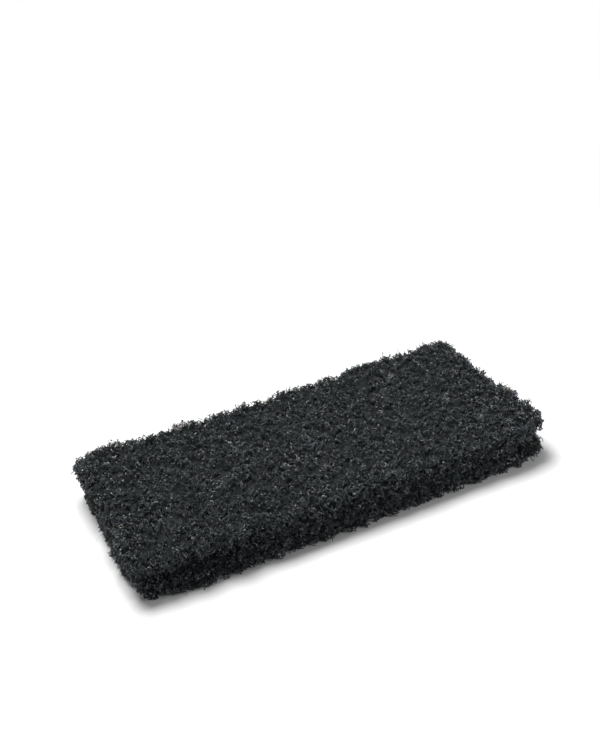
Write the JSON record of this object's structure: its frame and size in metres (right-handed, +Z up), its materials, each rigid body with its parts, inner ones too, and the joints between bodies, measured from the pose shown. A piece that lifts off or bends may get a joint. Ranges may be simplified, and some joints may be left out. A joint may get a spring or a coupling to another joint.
{
  "type": "scouring pad",
  "caption": "Thick rectangular scouring pad of black nonwoven abrasive web, lying flat, for scrubbing by hand or in a holder.",
  "frame": {"origin": "centre of the flat underside that the pad rests on", "axes": "+X along the length, +Y across the width, +Z up through the thickness"},
  "size_m": [0.25, 0.115, 0.025],
  "materials": {
    "web": "charcoal black crimped synthetic fibres bonded with matt resin, with small brighter abrasive grains"
  },
  "bodies": {
    "root": {"pad_web": "web"}
  },
  "joints": []
}
